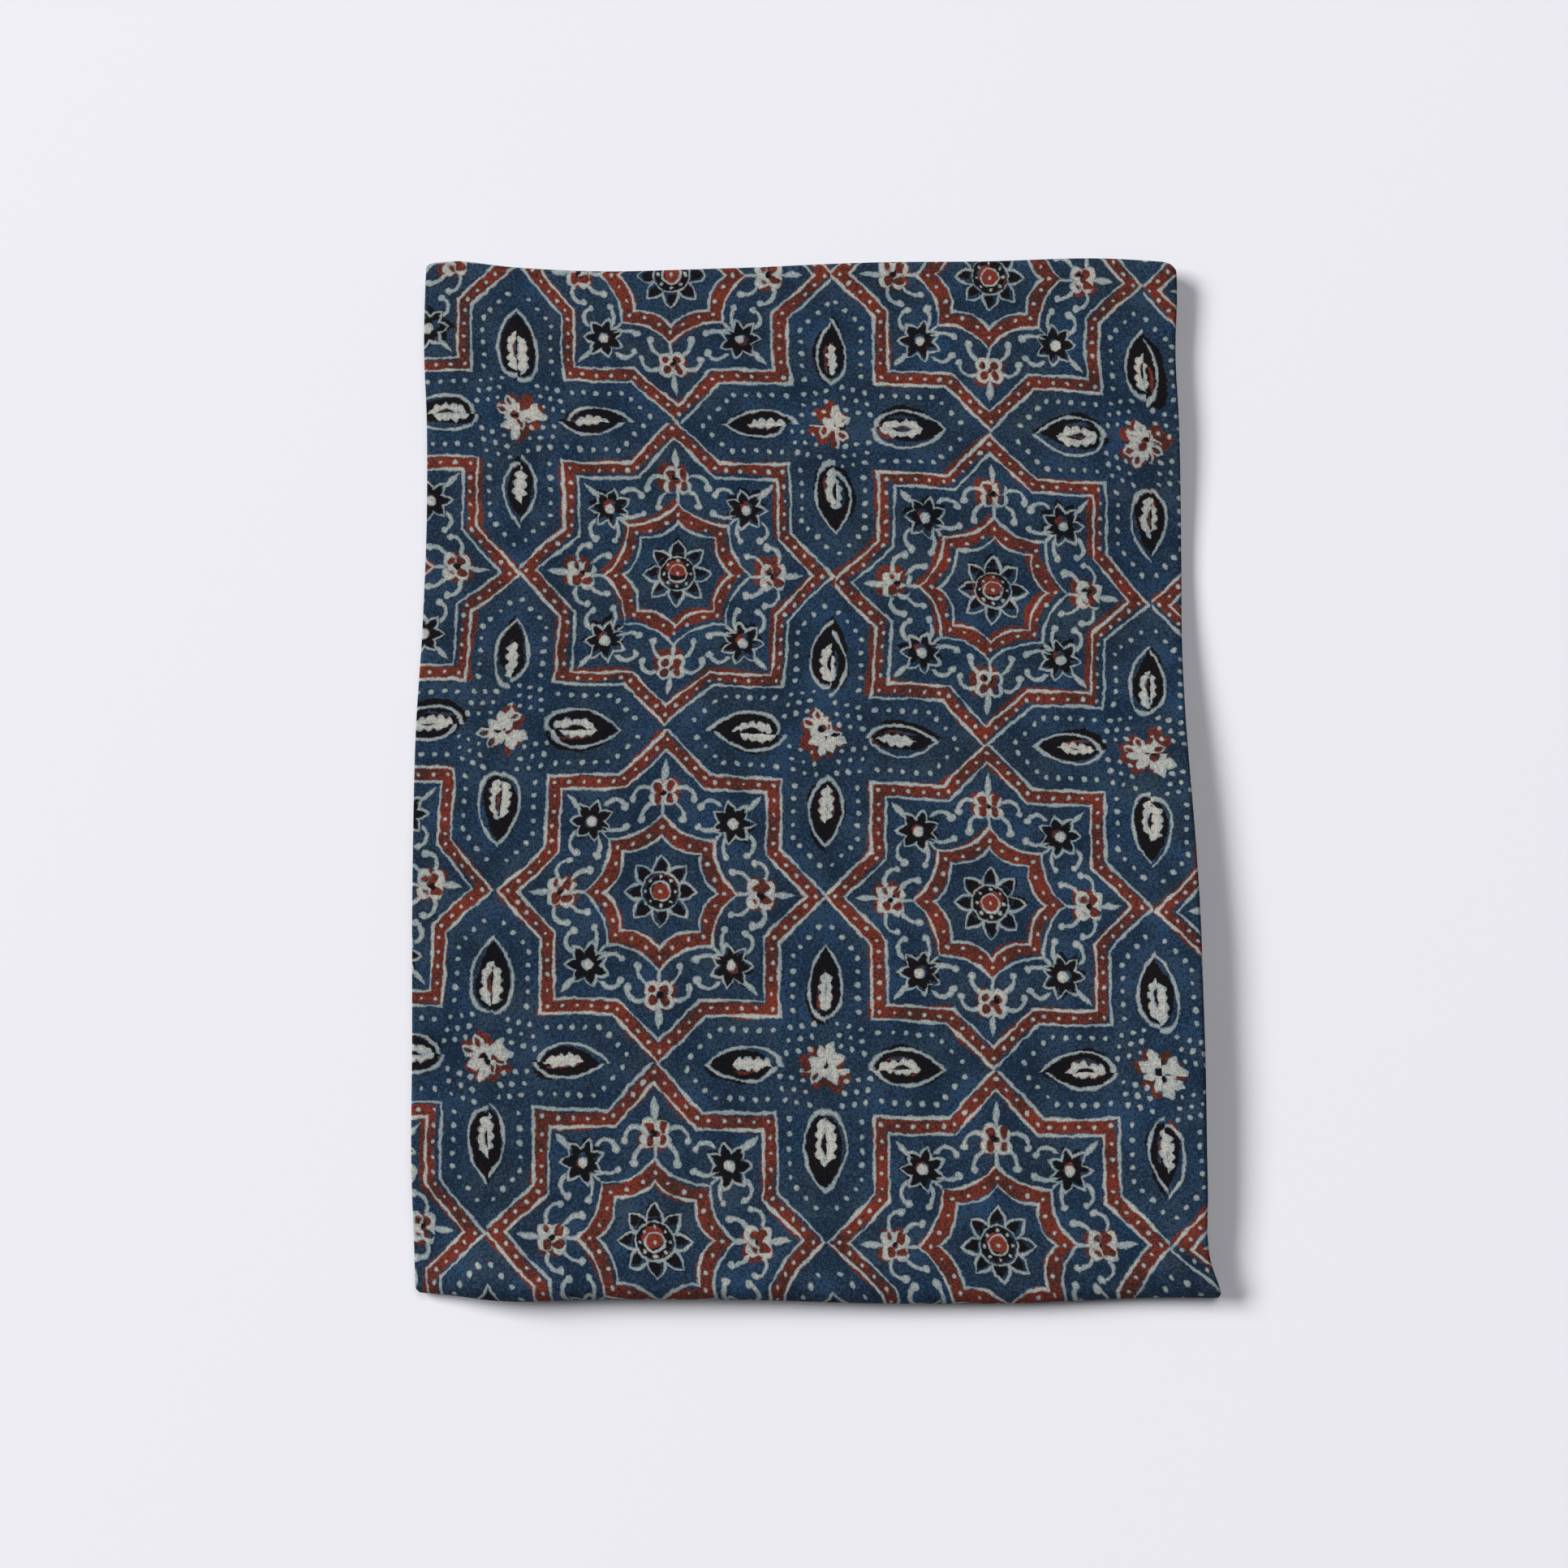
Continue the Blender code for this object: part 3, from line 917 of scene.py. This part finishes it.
def petal_pair(from_x, from_y, grown):
    """A quarter of the rosette: two leaves, an eighth of a turn apart, and a disc.

    It also gives the reach, and the way along and across the nearest leaf.
    """
    far, near = from_x.math("MAXIMUM", from_y), from_x.math("MINIMUM", from_y)
    at = place(far, near)
    along = at.dot(math.cos(math.pi / 8), math.sin(math.pi / 8))
    across = abs(at.dot(-math.sin(math.pi / 8), math.cos(math.pi / 8)))
    reach = at.vector("LENGTH", output="Value")
    edge = least(lens(along, across, 0.040, 0.030 + grown, 0.0185 + grown), reach - ROSETTE_DISC - grown)
    return edge, reach, along, across


def leaning_dots(from_x, from_y, first, step, count, lean, radius):
    """Square patch of dots whose rows lean outwards on both sides: rows of x + lean * y and y + lean * x.

    The squared distance to a dot is found back from the two leaning offsets a and b, as
    ((1 + lean squared) * (a * a + b * b) - 4 * lean * a * b) / (1 - lean squared) squared.
    """
    a = nearest_step(from_x + from_y * lean, first, step, count)
    b = nearest_step(from_y + from_x * lean, first, step, count)
    shrink = (1 - lean**2) ** 2
    squared = (a * a + b * b) * ((1 + lean**2) / shrink) - a * b * (4 * lean / shrink)
    return squared.math("SQRT") - radius


def between_lines(at, q, chance):
    """Halves of almonds and of lobed kernels, clusters of dots and a quarter of the pierced rosette."""
    from_x, from_y = 0.5 - q.x, 0.5 - q.y
    far, near = from_x.math("MAXIMUM", from_y), from_x.math("MINIMUM", from_y)
    lobes = cells(at, 52.0).scaled(0.018, -0.0075)
    scallops = abs((far.scaled(math.pi / LOBE_PITCH, 0.6) + chance * 2.0).math("SINE")) * -LOBE_DEPTH
    slit = lens(far, near, 0.226, 0.022, 0.0060) + chance.math("MULTIPLY_ADD", *SLIT_CHANCE, clamp=True)
    petals, reach, along, across = petal_pair(from_x, from_y, 0.0)
    hole = lens(along, across, 0.046, 0.015, 0.0080) + chance.math("MULTIPLY_ADD", *HOLE_CHANCE, clamp=True)
    return [
        line(almond_edge(near, far), 0.0080),
        most(kernel_half(near, far, 0.057, 0.0180, -0.0050) + scallops + lobes * 0.4, -1.0 * slit),
        leaning_dots(from_x, from_y, 0.0636, 0.0336, 3, 0.2, CLUSTER_DOT),
        most(petals + lobes * 0.5, -1.0 * hole, ROSETTE_EYE - reach),
    ]


# %% [markdown]
# ## Three blocks
#
# Each dye is one function of a place: the distance to the nearest shape that its block printed.

# %% Pale, red and black
def pale_areas(at, chance):
    """Distance to the undyed lines, dots and petals."""
    q = quarter(at)
    shapes = band_lines(q) + middle_flower_lines(*petal_frame(q))
    shapes += dark_star_lines(q) + axis_rosette_lines(at, q) + between_lines(at, q, chance)
    return least(*shapes)


def red_areas(at):
    """Distance to the madder: the dotted bands, the flowers' hearts, kernels and rosettes."""
    q = quarter(at)
    from_x, from_y = 0.5 - q.x, 0.5 - q.y
    return least(
        most(star_edge(q.sum_xy, q.far, *OUTER_STAR), -1.0 * star_edge(q.sum_xy, q.far, *INNER_STAR)),
        most(ring_edge(q.near, q.far, *OUTER_RING), -1.0 * ring_edge(q.near, q.far, *INNER_RING)),
        place(q.x, q.y).vector("LENGTH", output="Value") - DISC,
        place(q.x, q.y).distance(DARK_STAR_AT, DARK_STAR_AT) - DARK_STAR_HEART,
        axis_rosette_reach(q) - PETAL_ROUND - PETAL_MARGIN,
        kernel_half(from_x.math("MINIMUM", from_y), from_x.math("MAXIMUM", from_y), 0.068, 0.030, 0.0),
        petal_pair(from_x, from_y, RED_MARGIN)[0],
    )


def black_areas(at):
    """Distance to the black: almonds round their kernels, dark stars, the middle flower and eyes."""
    q = quarter(at)
    from_x, from_y = 0.5 - q.x, 0.5 - q.y
    far, near = from_x.math("MAXIMUM", from_y), from_x.math("MINIMUM", from_y)
    dx, dy = q.x - DARK_STAR_AT, q.y - DARK_STAR_AT
    star_reach = place(dx, dy).vector("LENGTH", output="Value")
    reach, along, across = petal_frame(q)
    return least(
        most(almond_edge(near, far), -1.0 * kernel_half(near, far, 0.054, 0.0180, 0.0095)),
        lens(far, near, 0.226, 0.024, 0.0090),
        most(dark_star_edge(dx, dy, star_reach, 0.068, 0.040), 0.017 - star_reach),
        most(lens(along, across, 0.070, 0.033, 0.0195), 0.058 - reach),
        abs(reach - 0.042) - 0.0130,
        q.octant.distance(0.300, 0.0) - 0.0125,
        place(from_x, from_y).vector("LENGTH", output="Value") - 0.0200,
    )


# %% [markdown]
# ## The finish
#
# Three prints are laid over each other as on the real cloth: red on the indigo ground, black over
# red, and the pale resist on top of both. Red and black were printed by their own blocks, so each
# star has them a little off their outlines. Dye is never even: a fine mottle at the size of the
# threads and a slow one at the size of a hand are worked into each colour.

# %% Cloth colours
INDIGO_CLEAR = (0.0225, 0.0580, 0.1220, 1.0)
INDIGO_DULL = (0.0345, 0.0560, 0.0800, 1.0)
INDIGO_DARK = (0.0075, 0.0175, 0.0350, 1.0)
RED_CLEAR = (0.1950, 0.0310, 0.0180, 1.0)
RED_BROWN = (0.0350, 0.0170, 0.0145, 1.0)
BLACK_COOL = (0.0032, 0.0040, 0.0064, 1.0)
BLACK_WARM = (0.0150, 0.0080, 0.0075, 1.0)
PALE_CREAM = (0.5300, 0.4850, 0.4100, 1.0)
PALE_BLUE = (0.1750, 0.2350, 0.2620, 1.0)
PALE_EDGE, RED_EDGE, BLACK_EDGE = 0.0036, 0.0065, 0.0032   # widths over which each dye fades, in repeats
COTTON = {"Roughness": 0.92, "Specular IOR Level": 0.08, "Sheen Weight": 0.01, "Sheen Roughness": 0.5}
WEAVE_BUMP = {"Strength": 0.45, "Distance": 0.0004}

# %% How the blocks and the dyes stray
THREAD_FINE, THREAD_LONG = 290.0, 90.0      # noise cells in a repeat, across and along a thread
BLOT_SCALE, CLOUD_SCALE, PRESS_SCALE, VAT_SCALE = 95.0, 7.0, 15.0, 4.5
PALE_SLIP, RED_SLIP, BLACK_SLIP = 0.028, 0.020, 0.024
SLIP_STEEP, SLIP_START = 8.0, 0.3           # slips begin this far from the star's middle, in repeats

Wander = namedtuple("Wander", "scale amount seed")
PALE_WANDERS = (Wander(8.0, 0.014, 0.0), Wander(40.0, 0.009, 3.0))
RED_WANDERS = (Wander(7.0, 0.026, 7.0),)
BLACK_WANDERS = (Wander(7.0, 0.040, 13.0),)
HALF = (0.5, 0.5, 0.5)                      # the middle value of a noise colour


# %% Cloth material
def ink(distance, softness):
    """How much of a dye is there: 1 inside its shape, 0 outside, with a soft edge."""
    return distance.math("MULTIPLY_ADD", -1 / softness, 0.5, clamp=True)


def level(*shares):
    """A sum of wires and numbers, held between 0 and 1."""
    total = shares[0]
    for share in shares[1:-1]:
        total = total + share
    return total.math("ADD", shares[-1], clamp=True)


def block_place(uv, amount, seed):
    """The place within its block, from the star's middle, and a chance number for each block.

    Each block's outer part is moved by its own slip, and its corners twice as far, so that halves and
    quarters from two blocks don't quite meet.
    """
    count = uv.vector("ADD", (0.5, 0.5, 0.0)).vector("FLOOR")
    drawn = {"noise_dimensions": "2D"}, {"Vector": count.vector("ADD", (seed, seed, 0.0))}
    slip = Wire.node("ShaderNodeTexWhiteNoise", *drawn, "Color").vector("SUBTRACT", HALF)
    local = uv.vector("SUBTRACT", count)
    reach_x, reach_y = local.vector("ABSOLUTE").parts()
    growth = SLIP_STEEP, -SLIP_STEEP * SLIP_START
    outer = most(reach_x, reach_y).math("MULTIPLY_ADD", *growth, clamp=True)
    outer = outer + least(reach_x, reach_y).math("MULTIPLY_ADD", *growth, clamp=True)
    slip = slip.vector("MULTIPLY", (amount, amount, 0.0)).vector("MULTIPLY", outer)
    return local.vector("ADD", slip), Wire.node("ShaderNodeTexWhiteNoise", *drawn, "Value")


def wandered(at, wanders):
    """The place moved by smooth noises, one after the other, as a hand-cut line wanders."""
    for scale, amount, seed in wanders:
        drift = noise(at.vector("ADD", (seed, seed, 0.0)), scale, 2.0, 0.5, "Color")
        shift = drift.vector("SUBTRACT", HALF).vector("MULTIPLY", (amount, amount, 0.0))
        at = at.vector("ADD", shift)
    return at


def cloth_material():
    """Block print, dye mottle and plain weave on one matt cotton shader.

    Each dye's colour is a mix of two by a sum of noises, and each print's share is its ink. A little
    of the noises is added to the distances too, which makes the edges ragged.
    """
    material = bpy.data.materials.new("block_printed_cotton")
    material.use_nodes = True
    tree = material.node_tree
    Wire.tree = tree
    shader = tree.nodes["Principled BSDF"]
    pale_uv, red_uv, black_uv = (
        Wire.node("ShaderNodeUVMap", {"uv_map": name}) for name in ("print", "red_block", "black_block")
    )

    warp = noise(pale_uv.vector("MULTIPLY", (THREAD_FINE, THREAD_LONG, 1.0)), 1.0, 2.0, 0.55)
    weft = noise(pale_uv.vector("MULTIPLY", (THREAD_LONG, THREAD_FINE, 1.0)), 1.0, 2.0, 0.55)
    threads = warp + weft - 1.0
    blot = noise(pale_uv, BLOT_SCALE, 2.0, 0.6)
    cloudy = noise(pale_uv, CLOUD_SCALE, 3.0, 0.6)
    press = noise(pale_uv, PRESS_SCALE, 1.0)
    ragged = threads * 0.0050 + (blot - 0.5) * 0.0075 + (press - 0.5) * 0.0080

    at, chance = block_place(wandered(pale_uv, PALE_WANDERS), PALE_SLIP, 4.0)
    pale_distance = pale_areas(at, chance) + ragged
    pale = ink(pale_distance, PALE_EDGE)
    red_at = block_place(wandered(red_uv, RED_WANDERS), RED_SLIP, 5.0)[0]
    red = ink(red_areas(red_at) + ragged * 1.2, RED_EDGE)
    black_at = block_place(wandered(black_uv, BLACK_WANDERS), BLACK_SLIP, 6.0)[0]
    black = ink(black_areas(black_at) + ragged, BLACK_EDGE)

    speckle = threads * 3.0
    rim = ink(pale_distance - 0.004, 0.008) * -0.35
    vat = noise(pale_uv.vector("ADD", (5.0, 9.0, 0.0)), VAT_SCALE, 4.0, 0.65)
    indigo = mix_colours(level(vat * 3.0, blot * 0.8, -1.40), INDIGO_DULL, INDIGO_CLEAR)
    ground = mix_colours(level(speckle, blot * 1.2, cloudy * 2.2, rim, -1.32), INDIGO_DARK, indigo)
    heart = ink(at.vector("LENGTH", output="Value") - 0.040, 0.020)
    madder = mix_colours(level(speckle, blot, cloudy * 2.2, heart * 0.6, -1.22), RED_BROWN, RED_CLEAR)
    iron = mix_colours(level(speckle, blot * 0.8, cloudy * 1.2, -0.85), BLACK_COOL, BLACK_WARM)
    thick = pale_distance.math("MULTIPLY", -45.0, clamp=True)
    cream = level(speckle * 0.6, blot * 0.8, cloudy * 0.7, thick * 0.5, red * 0.25, -0.60)
    resist = mix_colours(cream, PALE_BLUE, PALE_CREAM)
    colour = mix_colours(red, ground, madder)
    colour = mix_colours(black, colour, iron)
    colour = mix_colours(pale, colour, resist)
    tree.links.new(colour.socket, shader.inputs["Base Color"])

    for name, value in COTTON.items():
        shader.inputs[name].default_value = value
    bump = Wire.node("ShaderNodeBump", None, {**WEAVE_BUMP, "Height": threads + blot * 0.6}, "Normal")
    tree.links.new(bump.socket, shader.inputs["Normal"])
    print("nodes in the print", len(tree.nodes))
    return material


cloth.data.materials.append(cloth_material())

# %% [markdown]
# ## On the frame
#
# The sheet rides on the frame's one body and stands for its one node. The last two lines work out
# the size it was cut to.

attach(cloth, "root")
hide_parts(NODE)
CUT_LENGTH * MM
LOOM_WIDTH * MM
